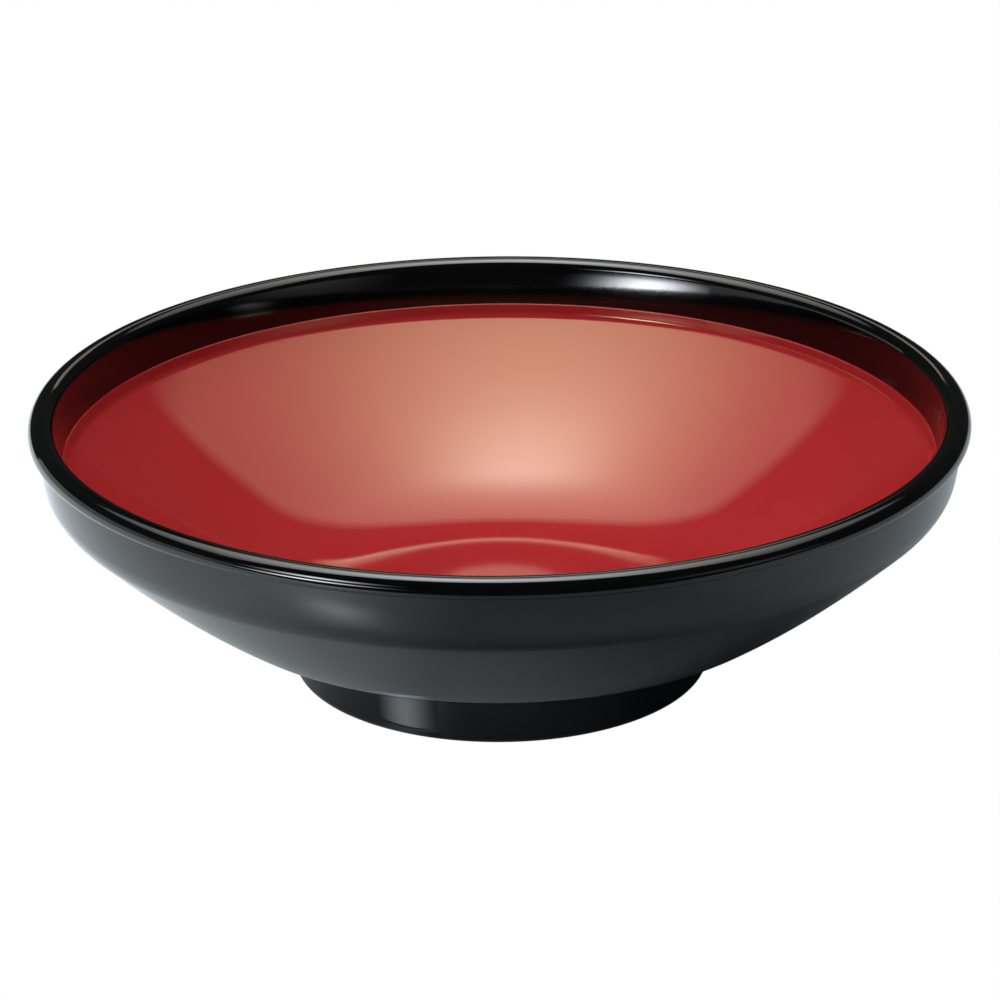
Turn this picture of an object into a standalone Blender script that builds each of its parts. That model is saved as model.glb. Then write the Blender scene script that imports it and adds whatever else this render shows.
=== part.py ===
"""A turned bowl in black and red lacquer, modelled as the pieces and coats that it is made of.

The wooden core is turned with a lip at its top and a spigot under its floor. The rim ring fits inside
the lip and caps it, and the foot ring fits around the spigot. The outside of the core, its inside, and
the underside of the spigot each have a coat of lacquer.

Metres, +Z up. The origin is the centre of the circle that the foot stands on.
"""
import math

import bpy
from mathutils import Matrix, Vector

COLLECTION = "lacquered_bowl"
MM = 0.001

# Driving dimensions
RIM_RADIUS = 120.0 * MM
BOWL_HEIGHT = 71.7 * MM
FOOT_RADIUS = 53.7 * MM
FLOOR_HEIGHT = 14.75 * MM

# Round pieces share one number of sides, so that their flats line up and the gaps stay even
SIDES = 48
JOINT_GAP = 0.3 * MM
COAT = 0.6 * MM
AXIS_MERGE = 0.01 * MM
SHARP_ANGLE = math.radians(40.0)
ARC_STEPS = 3

# Rim ring: a round-topped bead outside and a deep collar that leans in
BEAD_HEIGHT = 4.9 * MM
BEAD_TOP_FILLET = 3.2 * MM
BEAD_BOTTOM_FILLET = 1.5 * MM
RIM_WIDTH = 6.1 * MM
RIM_INNER_FILLET = 3.0 * MM
COLLAR_DEPTH = 11.8 * MM
COLLAR_TAPER = 2.2 * MM
COLLAR_BACK_RADIUS = RIM_RADIUS - 5.6 * MM

# Outer wall: tangent arcs from under the bead to the foot, each (radius, slope at its end, steps)
OUTER_TOP_RADIUS = RIM_RADIUS - 2.25 * MM
OUTER_TOP_SLOPE = math.radians(88.0)
OUTER_ARCS = (
    (68.5 * MM, math.radians(80.0), 1),
    (10.0 * MM, math.radians(43.5), 3),
    (360.0 * MM, math.radians(39.8), 1),
    (215.0 * MM, math.radians(34.0), 2),
    (26.0 * MM, math.radians(22.0), 2),
)

# Inside: a rounded ledge under the collar, tangent arcs down to the floor, a shallow dish, a flat middle
LEDGE_WIDTH = 1.0 * MM
LEDGE_HEIGHT = 3.0 * MM
LEDGE_FILLET = 0.6 * MM
LEDGE_FOOT_FILLET = 3.5 * MM
INNER_TOP_SLOPE = math.radians(43.0)
INNER_ARCS = (
    (218.0 * MM, math.radians(29.7), 3),
    (75.0 * MM, math.radians(9.0), 3),
    (130.0 * MM, math.radians(4.5), 1),
)
FLOOR_FLAT_RADIUS = 12.0 * MM

# Foot ring and the recess in it
FOOT_TAPER = 0.9 * MM
FOOT_BORE_RADIUS = 47.4 * MM
FOOT_TOP_HEIGHT = 12.8 * MM
FOOT_OUTER_FILLET = 2.3 * MM
FOOT_INNER_FILLET = 1.0 * MM
RECESS_DEPTH = 8.0 * MM

# Heights and radii that follow from the ones above
BEAD_UNDERSIDE = BOWL_HEIGHT - BEAD_HEIGHT
COLLAR_BOTTOM = BOWL_HEIGHT - COLLAR_DEPTH
RIM_INNER_RADIUS = RIM_RADIUS - RIM_WIDTH
COLLAR_BOTTOM_RADIUS = RIM_INNER_RADIUS - COLLAR_TAPER
LIP_TOP = BEAD_UNDERSIDE - JOINT_GAP
LEDGE_TOP = COLLAR_BOTTOM - JOINT_GAP
FOOT_TOP_RADIUS = FOOT_RADIUS + FOOT_TAPER
SEAT_HEIGHT = FOOT_TOP_HEIGHT + JOINT_GAP
SPIGOT_RADIUS = FOOT_BORE_RADIUS - JOINT_GAP
SPIGOT_BOTTOM = RECESS_DEPTH + COAT + JOINT_GAP

BLACK_LACQUER = ("black_lacquer", (0.006, 0.007, 0.008), 0.12)
RED_LACQUER = ("red_lacquer", (0.42, 0.015, 0.02), 0.2)
BARE_WOOD = ("bare_wood", (0.48, 0.31, 0.17), 0.7)


def fillet(before, corner, after, radius):
    """The arc that rounds a corner of an outline, in ARC_STEPS chords."""
    to_before = (before - corner).normalized()
    to_after = (after - corner).normalized()
    half_angle = to_before.angle(to_after) / 2.0
    centre = corner + (to_before + to_after).normalized() * radius / math.sin(half_angle)
    start = corner + to_before * radius / math.tan(half_angle) - centre
    end = corner + to_after * radius / math.tan(half_angle) - centre
    turn = -start.angle_signed(end)
    return [centre + Matrix.Rotation(turn * step / ARC_STEPS, 2) @ start for step in range(ARC_STEPS + 1)]


def outline_through(corners):
    """A closed outline through corners (r, z, fillet radius), running down its outer side."""
    points = [Vector((r, z)) for r, z, radius in corners]
    outline = []
    for index, (r, z, radius) in enumerate(corners):
        if radius > 0.0:
            after = points[(index + 1) % len(points)]
            outline += fillet(points[index - 1], points[index], after, radius)
        else:
            outline.append(points[index])
    return outline


def moved_inwards(surface, depth):
    """An open surface line moved by depth to its right, into the wood it covers."""
    directions = [(b - a).normalized() for a, b in zip(surface, surface[1:])]
    moved = []
    for index, point in enumerate(surface):
        arriving = directions[max(index - 1, 0)]
        leaving = directions[min(index, len(directions) - 1)]
        along = (arriving + leaving).normalized()
        into_wood = Vector((along.y, -along.x))
        moved.append(point + into_wood * depth / along.dot(leaving))
    return moved


def tangent_arcs(start, slope, arcs):
    """A line down and inwards from its start at a slope, along arcs that each begin where one ends."""
    line = [start]
    for radius, end_slope, steps in arcs:
        centre = line[-1] - radius * Vector((math.sin(slope), -math.cos(slope)))
        for step in range(1, steps + 1):
            angle = slope + (end_slope - slope) * step / steps
            line.append(centre + radius * Vector((math.sin(angle), -math.cos(angle))))
        slope = end_slope
    return line


def outer_surface():
    """The outside of the bowl, from under the bead down to the foot."""
    surface = tangent_arcs(Vector((OUTER_TOP_RADIUS, LIP_TOP)), OUTER_TOP_SLOPE, OUTER_ARCS)
    foot_edge = FOOT_TOP_RADIUS + 2.0 * JOINT_GAP
    drop = (surface[-1].x - foot_edge) * math.tan(OUTER_ARCS[-1][1])
    surface.append(Vector((foot_edge, surface[-1].y - drop)))
    return surface


def inner_surface():
    """The inside of the bowl, from the centre of its floor up over the ledge to behind the collar."""
    wall_top = Vector((COLLAR_BOTTOM_RADIUS - LEDGE_WIDTH, LEDGE_TOP - LEDGE_HEIGHT))
    ledge_edge = Vector((COLLAR_BOTTOM_RADIUS - LEDGE_FILLET, LEDGE_TOP))
    ledge_back = Vector((COLLAR_BACK_RADIUS, LEDGE_TOP))
    wall = tangent_arcs(wall_top, INNER_TOP_SLOPE, INNER_ARCS)[1:]
    return [
        Vector((0.0, FLOOR_HEIGHT)),
        Vector((FLOOR_FLAT_RADIUS, FLOOR_HEIGHT)),
        *reversed(wall),
        *fillet(wall[0], wall_top, ledge_edge, LEDGE_FOOT_FILLET),
        *fillet(wall_top, ledge_edge, ledge_back, LEDGE_FILLET),
        ledge_back,
    ]


def material(name, colour, roughness):
    """A Principled material, made once and shared by the pieces that name it."""
    if name in bpy.data.materials:
        return bpy.data.materials[name]
    made = bpy.data.materials.new(name)
    made.use_nodes = True
    shader = made.node_tree.nodes["Principled BSDF"]
    shader.inputs["Base Color"].default_value = (*colour, 1.0)
    shader.inputs["Roughness"].default_value = roughness
    return made


def turned(name, outline, finish, closed=True):
    """A solid turned about Z. Its profile runs down its outer side, and is open where it meets the axis."""
    count = len(outline)
    edges = [(index, (index + 1) % count) for index in range(count if closed else count - 1)]
    profile = bpy.data.meshes.new(name + "_profile")
    profile.from_pydata([(point.x, 0.0, point.y) for point in outline], edges, [])
    piece = bpy.data.objects.new(name, profile)
    bpy.data.collections[COLLECTION].objects.link(piece)

    screw = piece.modifiers.new("turn", "SCREW")
    screw.axis = "Z"
    screw.steps = SIDES
    screw.render_steps = SIDES
    screw.use_merge_vertices = True
    screw.merge_threshold = AXIS_MERGE

    depsgraph = bpy.context.evaluated_depsgraph_get()
    solid = bpy.data.meshes.new_from_object(piece.evaluated_get(depsgraph))
    piece.modifiers.clear()
    piece.data = solid
    bpy.data.meshes.remove(profile)
    solid.name = name
    solid.shade_smooth()
    solid.set_sharp_from_angle(angle=SHARP_ANGLE)
    solid.materials.append(material(*finish))
    return piece


def turned_core():
    """The wood: floor, wall and ledge inside, the lip on top, the wall outside, then seat and spigot."""
    inside = moved_inwards(inner_surface(), COAT + JOINT_GAP)
    outside = moved_inwards(outer_surface(), COAT + JOINT_GAP)
    lip_back_radius = COLLAR_BACK_RADIUS + JOINT_GAP
    outline = [
        *inside,
        Vector((lip_back_radius, inside[-1].y)),
        Vector((lip_back_radius, LIP_TOP)),
        *outside,
        Vector((outside[-1].x, SEAT_HEIGHT)),
        Vector((SPIGOT_RADIUS, SEAT_HEIGHT)),
        Vector((SPIGOT_RADIUS, SPIGOT_BOTTOM)),
        Vector((0.0, SPIGOT_BOTTOM)),
    ]
    return turned("turned_core", outline, BARE_WOOD, closed=False)


def outer_lacquer():
    """The black coat on the outside of the wall, from under the bead down to the foot ring."""
    surface = outer_surface()
    back = moved_inwards(surface, COAT)
    return turned("outer_lacquer", [*surface, *reversed(back)], BLACK_LACQUER)


def inner_lacquer():
    """The red coat over the floor, the wall and the ledge, tucked in under the collar."""
    surface = inner_surface()
    back = moved_inwards(surface, COAT)
    return turned("inner_lacquer", [*surface, *reversed(back)], RED_LACQUER, closed=False)


def rim_ring():
    """The black ring that caps the lip: a round-topped bead outside and a deep collar inside."""
    corners = (
        (RIM_RADIUS, BOWL_HEIGHT, BEAD_TOP_FILLET),
        (RIM_RADIUS, BEAD_UNDERSIDE, BEAD_BOTTOM_FILLET),
        (COLLAR_BACK_RADIUS, BEAD_UNDERSIDE, 0.0),
        (COLLAR_BACK_RADIUS, COLLAR_BOTTOM, 0.0),
        (COLLAR_BOTTOM_RADIUS, COLLAR_BOTTOM, 0.0),
        (RIM_INNER_RADIUS, BOWL_HEIGHT, RIM_INNER_FILLET),
    )
    return turned("rim_ring", outline_through(corners), BLACK_LACQUER)


def foot_ring():
    """The black ring that the bowl stands on, bored to fit around the spigot."""
    corners = (
        (FOOT_TOP_RADIUS, FOOT_TOP_HEIGHT, 0.0),
        (FOOT_RADIUS, 0.0, FOOT_OUTER_FILLET),
        (FOOT_BORE_RADIUS, 0.0, FOOT_INNER_FILLET),
        (FOOT_BORE_RADIUS, FOOT_TOP_HEIGHT, 0.0),
    )
    return turned("foot_ring", outline_through(corners), BLACK_LACQUER)


def base_lacquer():
    """The black coat on the underside of the spigot, the ceiling of the recess in the foot."""
    outline = [
        Vector((0.0, RECESS_DEPTH + COAT)),
        Vector((SPIGOT_RADIUS, RECESS_DEPTH + COAT)),
        Vector((SPIGOT_RADIUS, RECESS_DEPTH)),
        Vector((0.0, RECESS_DEPTH)),
    ]
    return turned("base_lacquer", outline, BLACK_LACQUER, closed=False)


def main():
    for old in list(bpy.data.objects):
        bpy.data.objects.remove(old, do_unlink=True)
    bpy.context.scene.collection.children.link(bpy.data.collections.new(COLLECTION))
    turned_core()
    outer_lacquer()
    inner_lacquer()
    rim_ring()
    foot_ring()
    base_lacquer()


main()
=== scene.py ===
import math

import bpy
from mathutils import Matrix, Vector


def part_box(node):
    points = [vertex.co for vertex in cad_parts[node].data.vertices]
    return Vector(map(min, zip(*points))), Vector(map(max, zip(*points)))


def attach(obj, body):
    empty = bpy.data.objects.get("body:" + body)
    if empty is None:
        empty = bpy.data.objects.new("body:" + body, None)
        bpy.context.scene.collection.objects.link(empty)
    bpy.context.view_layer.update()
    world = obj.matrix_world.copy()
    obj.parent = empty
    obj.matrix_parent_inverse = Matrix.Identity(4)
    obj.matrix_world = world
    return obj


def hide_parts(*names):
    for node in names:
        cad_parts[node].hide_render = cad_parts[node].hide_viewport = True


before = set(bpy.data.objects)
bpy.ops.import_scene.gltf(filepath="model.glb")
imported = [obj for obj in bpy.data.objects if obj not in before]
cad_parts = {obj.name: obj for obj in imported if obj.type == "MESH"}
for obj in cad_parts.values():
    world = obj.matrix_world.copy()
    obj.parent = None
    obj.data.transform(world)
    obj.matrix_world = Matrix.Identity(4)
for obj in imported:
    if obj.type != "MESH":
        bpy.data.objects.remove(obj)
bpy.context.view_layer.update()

MM = 0.001
SIDES = 256
FILLET_STEPS = 14
DISH_STEPS = 6
JUNCTION_STEPS = 8
SHARP = math.radians(35.0)
ON_AXIS = 1e-6
COAT = 0.6 * MM
GAP = 0.3 * MM

# Places read from the CAD pieces
RIM_LOW, RIM_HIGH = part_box("rim_ring")
INNER_LOW, INNER_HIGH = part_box("inner_lacquer")
BASE_LOW, BASE_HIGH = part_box("base_lacquer")
OUTER_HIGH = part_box("outer_lacquer")[1]
FOOT_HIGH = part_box("foot_ring")[1]
RIM_RADIUS = RIM_HIGH.x
RIM_TOP = RIM_HIGH.z
COLLAR_BOTTOM = RIM_LOW.z
BEAD_UNDERSIDE = OUTER_HIGH.z + GAP
COLLAR_BACK = INNER_HIGH.x
LEDGE_TOP = INNER_HIGH.z
FLOOR = INNER_LOW.z + COAT
FOOT_TOP_RADIUS = FOOT_HIGH.x
FOOT_TOP = FOOT_HIGH.z
FOOT_BORE = BASE_HIGH.x + GAP
CEILING = BASE_LOW.z

# Shapes that the boxes don't give
FOOT_RADIUS = FOOT_TOP_RADIUS - 0.9 * MM
RIM_INNER = RIM_RADIUS - 6.1 * MM
COLLAR_FOOT = RIM_INNER - 2.2 * MM
COLLAR_SWELL = (COLLAR_FOOT + 0.8 * MM, COLLAR_BOTTOM + 5.0 * MM)
LEDGE_WIDTH = 1.0 * MM
LEDGE_HEIGHT = 3.0 * MM
LEDGE_FILLET = 0.3 * MM
LEDGE_FOOT_FILLET = 3.5 * MM
FLAT_MIDDLE = 12.0 * MM
FLAT_BLEND = 40.0 * MM

# Fillet radii of the corners of the rim ring and the foot ring, in mm
SQUARE = 0.0
BEAD_TOP_ROUND = 3.2
BEAD_BOTTOM_ROUND = 1.5
COLLAR_ROUND = 140.0
RIM_INNER_ROUND = 3.0
FOOT_OUTER_ROUND = 2.3
FOOT_INNER_ROUND = 1.0

# Walls: where each starts and its slope there, then arcs (radius in mm, slope in degrees at the end, steps)
OUTER_START = (Vector((RIM_RADIUS - 2.25 * MM, BEAD_UNDERSIDE - GAP)), math.radians(88.0))
OUTER_ARCS = ((68.5, 80.0, 6), (10.0, 43.5, 16), (360.0, 39.8, 8), (215.0, 34.0, 10), (26.0, 22.0, 10))
INNER_START = (Vector((COLLAR_FOOT - LEDGE_WIDTH, LEDGE_TOP - LEDGE_HEIGHT)), math.radians(43.0))
INNER_ARCS = ((218.0, 29.7, 24), (75.0, 9.0, 24), (130.0, 4.5, 10))

# Points at the top of the inner wall that the fillet at the ledge's foot takes the place of
FILLETED_POINTS = 2


# Turned shapes

def fillet(before, corner, after, radius):
    """The arc that rounds a corner of an outline."""
    to_before = (before - corner).normalized()
    to_after = (after - corner).normalized()
    half = to_before.angle(to_after) / 2.0
    centre = corner + (to_before + to_after).normalized() * radius / math.sin(half)
    start = corner + to_before * radius / math.tan(half) - centre
    end = corner + to_after * radius / math.tan(half) - centre
    turn = -start.angle_signed(end)
    turns = [turn * step / FILLET_STEPS for step in range(FILLET_STEPS + 1)]
    return [centre + Matrix.Rotation(angle, 2) @ start for angle in turns]


def rounded(corners):
    """A closed outline through corners (r, z, fillet radius in mm)."""
    points = [Vector((r, z)) for r, z, radius in corners]
    line = []
    for index, corner in enumerate(corners):
        radius = corner[2] * MM
        if radius > 0.0:
            line += fillet(points[index - 1], points[index], points[(index + 1) % len(points)], radius)
        else:
            line.append(points[index])
    return line


def tangent_arcs(start, slope, arcs):
    """A line down and inwards from its start, along arcs (radius in mm, slope at the end, steps)."""
    line = [start]
    for radius, degrees, steps in arcs:
        end = math.radians(degrees)
        centre = line[-1] - radius * MM * Vector((math.sin(slope), -math.cos(slope)))
        for step in range(1, steps + 1):
            angle = slope + (end - slope) * step / steps
            line.append(centre + radius * MM * Vector((math.sin(angle), -math.cos(angle))))
        slope = end
    return line


def moved(line, depth):
    """The line moved by depth to its right."""
    ways = [(b - a).normalized() for a, b in zip(line, line[1:])]
    out = []
    for index, point in enumerate(line):
        here = ways[max(index - 1, 0)]
        there = ways[min(index, len(ways) - 1)]
        along = (here + there).normalized()
        out.append(point + Vector((along.y, -along.x)) * depth / along.dot(there))
    return out


def outside():
    """The outer wall from under the bead to where it meets the foot ring."""
    line = tangent_arcs(*OUTER_START, OUTER_ARCS)
    edge = FOOT_TOP_RADIUS + 2.0 * GAP
    slope = math.radians(OUTER_ARCS[-1][1])
    last = line[-1]
    for step in range(1, JUNCTION_STEPS + 1):
        r = last.x + (edge - last.x) * step / JUNCTION_STEPS
        line.append(Vector((r, last.y - (last.x - r) * math.tan(slope))))
    return line


def inside():
    """The floor's middle, the dish, the inner wall and the ledge, from the axis outwards."""
    wall_top = INNER_START[0]
    ledge_edge = Vector((COLLAR_FOOT - LEDGE_FILLET, LEDGE_TOP))
    ledge_back = Vector((COLLAR_BACK, LEDGE_TOP))
    down = tangent_arcs(*INNER_START, INNER_ARCS)
    wall_start = down[FILLETED_POINTS]
    dish_edge = down[-1]
    middle = Vector((0.0, FLOOR))
    flat_edge = Vector((FLAT_MIDDLE, FLOOR))
    dish = [flat_edge + (dish_edge - flat_edge) * step / DISH_STEPS for step in range(2, DISH_STEPS)]
    return [
        middle,
        Vector((FLAT_MIDDLE * 0.5, FLOOR)),
        *fillet(middle, flat_edge, dish_edge, FLAT_BLEND),
        *dish,
        *reversed(down[FILLETED_POINTS:]),
        *fillet(wall_start, wall_top, ledge_edge, LEDGE_FOOT_FILLET),
        *fillet(wall_top, ledge_edge, ledge_back, LEDGE_FILLET),
        ledge_back,
    ]


def turned(name, line, closed, node, material):
    """A piece turned about Z from a line that runs down its outer side."""
    points = []
    rings = []
    for p in line:
        if p.x < ON_AXIS:
            rings.append([len(points)] * SIDES)
            points.append((0.0, 0.0, p.y))
            continue
        rings.append(list(range(len(points), len(points) + SIDES)))
        for side in range(SIDES):
            angle = 2.0 * math.pi * side / SIDES
            points.append((p.x * math.cos(angle), p.x * math.sin(angle), p.y))
    if closed:
        rings.append(rings[0])
    faces = []
    for upper, lower in zip(rings, rings[1:]):
        for side in range(SIDES):
            nxt = (side + 1) % SIDES
            corners = []
            for corner in (upper[side], lower[side], lower[nxt], upper[nxt]):
                if corner not in corners:
                    corners.append(corner)
            if len(corners) > 2:
                faces.append(corners)
    mesh = bpy.data.meshes.new(name)
    mesh.from_pydata(points, [], faces)
    mesh.shade_smooth()
    mesh.set_sharp_from_angle(angle=SHARP)
    mesh.materials.append(material)
    piece = bpy.data.objects.new(name, mesh)
    bpy.context.scene.collection.objects.link(piece)
    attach(piece, "root")
    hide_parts(node)


# Materials

LACQUER_IOR = 1.52
WAVE_HEIGHT = 0.02 * MM
DUST_HEIGHT = 0.002 * MM


class Nodes:
    """A small helper that adds and joins the nodes of one material."""

    def __init__(self, name):
        self.material = bpy.data.materials.new(name)
        self.material.use_nodes = True
        self.tree = self.material.node_tree
        self.tree.nodes.clear()
        self.output = self.tree.nodes.new("ShaderNodeOutputMaterial")

    def add(self, kind, inputs=None, **settings):
        node = self.tree.nodes.new(kind)
        for key, value in settings.items():
            setattr(node, key, value)
        for key, value in (inputs or {}).items():
            if isinstance(value, bpy.types.NodeSocket):
                self.tree.links.new(value, node.inputs[key])
            else:
                node.inputs[key].default_value = value
        return node

    def object_coords(self):
        return self.add("ShaderNodeTexCoord").outputs["Object"]

    def noise(self, coords, scale, detail=2.0, roughness=0.5):
        made = self.add(
            "ShaderNodeTexNoise",
            {"Vector": coords, "Scale": scale, "Detail": detail, "Roughness": roughness},
        )
        return made.outputs["Fac"]

    def spread(self, value, low, high, from_low=0.0, from_high=1.0):
        made = self.add(
            "ShaderNodeMapRange",
            {"Value": value, "From Min": from_low, "From Max": from_high, "To Min": low, "To Max": high},
        )
        return made.outputs["Result"]

    def blend(self, factor, one, other):
        made = self.add(
            "ShaderNodeMix",
            {0: factor, 6: one, 7: other},
            data_type="RGBA",
        )
        return made.outputs[2]

    def maths(self, operation, first, second):
        return self.add("ShaderNodeMath", {0: first, 1: second}, operation=operation).outputs[0]

    def surface(self, shader):
        self.tree.links.new(shader, self.output.inputs["Surface"])
        return self.material


def lacquer(name, deep, pale, roughness, sheen=(1.0, 1.0, 1.0)):
    """Brushed and polished lacquer: slow colour change, faint waviness, and tiny dust and polish marks."""
    n = Nodes(name)
    coords = n.object_coords()
    slow = n.noise(coords, 14.0, 3.0)
    fine = n.noise(coords, 900.0, 3.0, 0.6)
    wavy = n.noise(coords, 38.0, 2.0)
    colour = n.blend(n.spread(slow, 0.0, 1.0, 0.3, 0.7), (*deep, 1.0), (*pale, 1.0))
    clouded = n.spread(slow, roughness - 0.01, roughness + 0.01, 0.3, 0.7)
    rough = n.maths("ADD", n.spread(fine, -0.012, 0.012, 0.3, 0.7), clouded)
    swell = n.add("ShaderNodeBump", {"Height": wavy, "Strength": 1.0, "Distance": WAVE_HEIGHT})
    peel = n.add(
        "ShaderNodeBump",
        {"Height": fine, "Strength": 1.0, "Distance": DUST_HEIGHT, "Normal": swell.outputs[0]},
    )
    shader = n.add(
        "ShaderNodeBsdfPrincipled",
        {
            "Base Color": colour,
            "Roughness": rough,
            "IOR": LACQUER_IOR,
            "Specular Tint": (*sheen, 1.0),
            "Normal": peel.outputs[0],
        },
    )
    return n.surface(shader.outputs[0])


def wood(name):
    """Bare turned wood with growth rings about a line off the bowl's axis, and fine pores."""
    n = Nodes(name)
    coords = n.object_coords()
    place = n.add(
        "ShaderNodeMapping",
        {
            "Vector": coords,
            "Location": (0.05, 0.0, 0.12),
            "Rotation": (0.0, 1.45, 0.0),
            "Scale": (1.0, 1.0, 0.15),
        },
    )
    rings = n.add(
        "ShaderNodeTexWave",
        {"Vector": place.outputs[0], "Scale": 55.0, "Distortion": 2.5, "Detail": 3.0, "Detail Scale": 1.2},
        wave_type="RINGS",
        rings_direction="Z",
    )
    pores = n.noise(place.outputs[0], 1400.0, 2.0)
    ringed = n.blend(rings.outputs["Fac"], (0.50, 0.33, 0.18, 1.0), (0.33, 0.19, 0.09, 1.0))
    colour = n.blend(n.spread(pores, 0.0, 0.5, 0.55, 0.8), ringed, (0.16, 0.09, 0.045, 1.0))
    bump = n.add("ShaderNodeBump", {"Height": pores, "Strength": 0.4, "Distance": 0.0001})
    shader = n.add(
        "ShaderNodeBsdfPrincipled",
        {"Base Color": colour, "Roughness": n.spread(pores, 0.55, 0.8), "Normal": bump.outputs[0]},
    )
    return n.surface(shader.outputs[0])


BLACK = lacquer("black_lacquer_looks", (0.0012, 0.0014, 0.0015), (0.002, 0.0023, 0.0024), 0.055)
RED = lacquer(
    "red_lacquer_looks",
    (0.325, 0.0185, 0.020),
    (0.365, 0.021, 0.0225),
    0.06,
    sheen=(1.0, 0.93, 0.56),
)
WOOD = wood("bare_wood_looks")

# Pieces: each fine piece stands for the CAD node of the same name
outer_line = outside()
inner_line = inside()
core_outer = moved(outer_line, COAT + GAP)
core_inner = moved(inner_line, COAT + GAP)

turned("rim_ring_looks", rounded((
    (RIM_RADIUS, RIM_TOP, BEAD_TOP_ROUND),
    (RIM_RADIUS, BEAD_UNDERSIDE, BEAD_BOTTOM_ROUND),
    (COLLAR_BACK, BEAD_UNDERSIDE, SQUARE),
    (COLLAR_BACK, COLLAR_BOTTOM, SQUARE),
    (COLLAR_FOOT, COLLAR_BOTTOM, SQUARE),
    (*COLLAR_SWELL, COLLAR_ROUND),
    (RIM_INNER, RIM_TOP, RIM_INNER_ROUND),
)), True, "rim_ring", BLACK)
turned("foot_ring_looks", rounded((
    (FOOT_TOP_RADIUS, FOOT_TOP, SQUARE),
    (FOOT_RADIUS, 0.0, FOOT_OUTER_ROUND),
    (FOOT_BORE, 0.0, FOOT_INNER_ROUND),
    (FOOT_BORE, FOOT_TOP, SQUARE),
)), True, "foot_ring", BLACK)
turned("outer_lacquer_looks", [*outer_line, *reversed(moved(outer_line, COAT))], True,
       "outer_lacquer", BLACK)
turned("inner_lacquer_looks", [*inner_line, *reversed(moved(inner_line, COAT))], False,
       "inner_lacquer", RED)
turned("base_lacquer_looks", [
    Vector((0.0, CEILING + COAT)),
    Vector((FOOT_BORE - GAP, CEILING + COAT)),
    Vector((FOOT_BORE - GAP, CEILING)),
    Vector((0.0, CEILING)),
], False, "base_lacquer", BLACK)
turned("turned_core_looks", [
    *core_inner,
    Vector((COLLAR_BACK + GAP, core_inner[-1].y)),
    Vector((COLLAR_BACK + GAP, BEAD_UNDERSIDE - GAP)),
    *core_outer,
    Vector((core_outer[-1].x, FOOT_TOP + GAP)),
    Vector((FOOT_BORE - GAP, FOOT_TOP + GAP)),
    Vector((FOOT_BORE - GAP, CEILING + COAT + GAP)),
    Vector((0.0, CEILING + COAT + GAP)),
], False, "turned_core", WOOD)


# Stage: light sheets, the floor, the surroundings and the camera. A light of level 1 shows as white

WHITE = (1.0, 1.0, 1.0, 1.0)
SCRIM_CENTRE = (0.0, 0.41, 1.0)
FLOOR_DROP = 0.2 * MM
CAMERA_PLACE = (0.0, -1.0174, 0.4477)
CAMERA_DOWN = 0.3773
CAMERA_ROLL = -0.0087
LENS = 152.93
SENSOR = 36.0
NEAREST = 0.01


def sheet(name, low, high, material, face=(0, 1, 2, 3)):
    """A flat rectangle between two corners (x, y) of its own plane, facing up unless face runs backwards."""
    mesh = bpy.data.meshes.new(name)
    corners = [(low[0], low[1], 0.0), (high[0], low[1], 0.0), (high[0], high[1], 0.0), (low[0], high[1], 0.0)]
    mesh.from_pydata(corners, [], [face])
    mesh.materials.append(material)
    made = bpy.data.objects.new(name, mesh)
    bpy.context.scene.collection.objects.link(made)
    return made


def light_sheet(name, width, height, light_of, **options):
    """A sheet of light centred on its origin, which the camera doesn't see."""
    far = (width / 2.0, height / 2.0)
    made = sheet(name, (-far[0], -far[1]), far, glow(name + "_glow", light_of), **options)
    made.visible_camera = False
    return made


def panel(name, width, height, place, light_of):
    """An upright light sheet that faces the bowl's axis, with its own X across it and its own Y up it."""
    made = light_sheet(name, width, height, light_of)
    outwards = Vector((place[0], place[1], 0.0))
    turn = outwards.to_track_quat("-Z", "Y").to_matrix().to_4x4()
    made.matrix_world = Matrix.Translation(place) @ turn


def glow(name, light_of):
    """A light sheet's material. light_of makes the colour of its light from the sheet's own x and y."""
    n = Nodes(name)
    split = n.add("ShaderNodeSeparateXYZ", {"Vector": n.object_coords()})
    shader = n.add("ShaderNodeEmission", {"Color": light_of(n, split.outputs[0], split.outputs[1])})
    back = n.add("ShaderNodeNewGeometry").outputs["Backfacing"]
    clear = n.add("ShaderNodeBsdfTransparent")
    mixed = n.add("ShaderNodeMixShader", {0: back, 1: shader.outputs[0], 2: clear.outputs[0]})
    return n.surface(mixed.outputs[0])


def bell(n, x, y, centre, spread, level):
    """A smooth bump: level at its centre, falling off like a bell."""
    dx = n.maths("DIVIDE", n.maths("SUBTRACT", x, centre[0]), spread[0])
    dy = n.maths("DIVIDE", n.maths("SUBTRACT", y, centre[1]), spread[1])
    square = n.maths("ADD", n.maths("MULTIPLY", dx, dx), n.maths("MULTIPLY", dy, dy))
    bump = n.maths("POWER", math.e, n.maths("MULTIPLY", square, -1.0))
    return n.maths("MULTIPLY", bump, level)


def fade(n, value, start, end):
    """1 up to start, falling evenly to 0 at end."""
    return n.spread(value, 1.0, 0.0, start, end)


def tinted(n, strength, colour):
    """A light colour at a strength."""
    return n.add("ShaderNodeVectorMath", {0: colour, "Scale": strength}, operation="SCALE").outputs[0]


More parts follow.
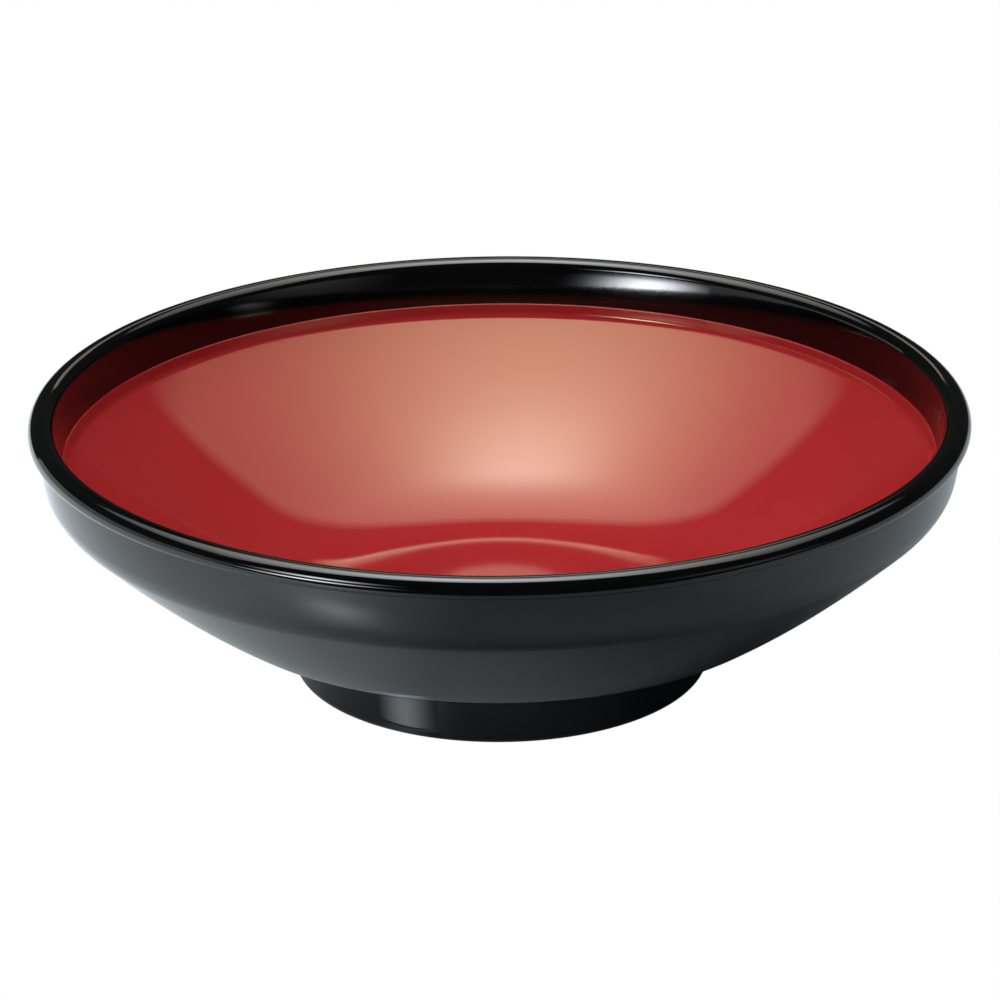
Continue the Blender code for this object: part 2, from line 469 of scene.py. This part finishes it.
def overhead(n, x, y):
    """The overhead scrim: a cool hot middle in a wide glow, fading out at its sides and far edge."""
    hot = bell(n, x, y, centre=(-0.05, -0.15), spread=(0.19, 0.18), level=4.6)
    wide = n.maths("ADD", bell(n, x, y, centre=(-0.08, -0.34), spread=(0.5, 0.6), level=4.9), 0.9)
    side = fade(n, n.maths("ABSOLUTE", x, 0.0), 0.82, 1.0)
    edges = n.maths("MULTIPLY", side, fade(n, y, 0.44, 0.58))
    cool = tinted(n, n.maths("MULTIPLY", hot, edges), (0.95, 1.0, 1.3))
    plain = tinted(n, n.maths("MULTIPLY", wide, edges), (1.0, 1.0, 0.98))
    return n.add("ShaderNodeVectorMath", {0: cool, 1: plain}, operation="ADD").outputs[0]


def behind(n, x, y):
    """The backdrop: a band under an arch, with a bright line along the arch, fading out at its sides."""
    arch = n.maths("ADD", bell(n, x, 0.0, centre=(0.0, 0.0), spread=(0.09, 1.0), level=0.125), 0.04)
    above = n.maths("SUBTRACT", y, arch)
    line = bell(n, 0.0, above, centre=(0.0, -0.02), spread=(1.0, 0.03), level=1.3)
    side = fade(n, n.maths("ABSOLUTE", n.maths("SUBTRACT", x, 0.05), 0.0), 0.12, 0.27)
    edges = n.maths("MULTIPLY", fade(n, above, -0.01, 0.01), side)
    return tinted(n, n.maths("MULTIPLY", n.maths("ADD", line, 1.0), edges), (1.1, 1.0, 0.8))


def front_left(n, x, y):
    """A low light, brightest in its middle, with a weaker part above it."""
    low = bell(n, x, y, centre=(0.0, -0.43), spread=(0.19, 0.05), level=30.0)
    high = bell(n, x, y, centre=(0.0, -0.04), spread=(0.17, 0.09), level=20.0)
    return tinted(n, n.maths("ADD", low, high), (0.95, 0.98, 1.06))


def left(n, x, y):
    """A dim card, with a faint unevenness."""
    return tinted(n, n.spread(n.noise(n.object_coords(), 1.5), 0.57, 0.63), (0.97, 1.0, 1.0))


def right(n, x, y):
    """A dim card that fades out at its ends."""
    return tinted(n, bell(n, x, y, centre=(0.0, 0.0), spread=(0.3, 0.12), level=0.5), (0.97, 1.0, 1.0))


def by_the_foot(n, x, y):
    """A tiny card's light, brightest in its middle."""
    return tinted(n, bell(n, x, y, centre=(0.0, 0.0), spread=(0.0065, 0.02), level=2.7), (0.94, 1.0, 1.05))


def painted_table_light(n, x, y):
    """Painted light on the table, glowing from the floor itself: broad on the left, faint in front and on the
    right, with a small bright patch.
    """
    total = n.spread(x, 0.85, 0.0, -0.15, -0.02)
    for part in (
        n.spread(x, 0.0, 0.25, 0.12, 0.2),
        bell(n, x, y, centre=(-0.02, -0.085), spread=(0.05, 0.035), level=0.15),
        bell(n, x, y, centre=(-0.098, -0.176), spread=(0.024, 0.016), level=1.7),
    ):
        total = n.maths("ADD", total, part)
    return tinted(n, total, (0.92, 1.0, 1.02))


scrim = light_sheet("overhead_scrim", 2.0, 1.14, overhead, face=(3, 2, 1, 0))
scrim.location = SCRIM_CENTRE
panel("backdrop", 0.8, 0.47, (0.0, 1.5, 0.955), behind)
panel("front_left_light", 1.0, 1.04, (-0.67, -0.74, 0.535), front_left)
panel("foot_card", 0.02, 0.009, (-0.0275, -0.0505, 0.0047), by_the_foot)
panel("left_card", 1.2, 0.25, (-0.8, 0.1, 0.125), left)
panel("right_card", 0.9, 0.4, (0.74, -0.52, 0.2), right)


def floor_material():
    """White to the camera, clear from below, and to everything that reflects it a satin grey lit by the
    lamps, with painted light glowing from it as well.
    """
    n = Nodes("floor_looks")
    coords = n.object_coords()
    rays = n.add("ShaderNodeLightPath")
    below = n.add("ShaderNodeNewGeometry").outputs["Backfacing"]
    white = n.add("ShaderNodeEmission", {"Color": WHITE, "Strength": 1.0})
    grain = n.noise(coords, 8.0, 2.0)
    tone = n.blend(grain, (0.36, 0.41, 0.44, 1.0), (0.39, 0.44, 0.475, 1.0))
    satin = n.add("ShaderNodeBsdfPrincipled", {"Base Color": tone, "Roughness": n.spread(grain, 0.3, 0.34)})
    split = n.add("ShaderNodeSeparateXYZ", {"Vector": coords})
    # Painted light: the floor glows in the pattern of light falling on the table.
    lit = n.add("ShaderNodeEmission", {"Color": painted_table_light(n, split.outputs[0], split.outputs[1])})
    table = n.add("ShaderNodeAddShader", {0: satin.outputs[0], 1: lit.outputs[0]})
    to_camera = rays.outputs["Is Camera Ray"]
    seen = n.add("ShaderNodeMixShader", {0: to_camera, 1: table.outputs[0], 2: white.outputs[0]})
    clear = n.add("ShaderNodeBsdfTransparent")
    mixed = n.add("ShaderNodeMixShader", {0: below, 1: seen.outputs[0], 2: clear.outputs[0]})
    return n.surface(mixed.outputs[0])


floor = sheet("floor", (-0.9, -0.26), (0.9, 1.5), floor_material())
floor.location.z = -FLOOR_DROP


def surroundings():
    """White where the camera looks past the stage, and almost black to everything else."""
    world = bpy.data.worlds.new("surroundings")
    bpy.context.scene.world = world
    world.use_nodes = True
    tree = world.node_tree
    tree.nodes.clear()
    output = tree.nodes.new("ShaderNodeOutputWorld")
    rays = tree.nodes.new("ShaderNodeLightPath")
    white = tree.nodes.new("ShaderNodeBackground")
    white.inputs["Color"].default_value = WHITE
    dark = tree.nodes.new("ShaderNodeBackground")
    dark.inputs["Color"].default_value = (0.03, 0.03, 0.03, 1.0)
    mix = tree.nodes.new("ShaderNodeMixShader")
    tree.links.new(rays.outputs["Is Camera Ray"], mix.inputs[0])
    tree.links.new(dark.outputs[0], mix.inputs[1])
    tree.links.new(white.outputs[0], mix.inputs[2])
    tree.links.new(mix.outputs[0], output.inputs["Surface"])


surroundings()


def camera():
    """The camera, in front of the bowl and above it."""
    lens = bpy.data.cameras.new("camera")
    lens.sensor_width = SENSOR
    lens.lens = LENS
    lens.clip_start = NEAREST
    eye = bpy.data.objects.new("camera", lens)
    bpy.context.scene.collection.objects.link(eye)
    tilt = Matrix.Rotation(math.pi / 2.0 - CAMERA_DOWN, 4, "X")
    roll = Matrix.Rotation(CAMERA_ROLL, 4, "Z")
    eye.matrix_world = Matrix.Translation(CAMERA_PLACE) @ tilt @ roll
    bpy.context.scene.camera = eye


camera()
bpy.context.scene.view_settings.view_transform = "Standard"
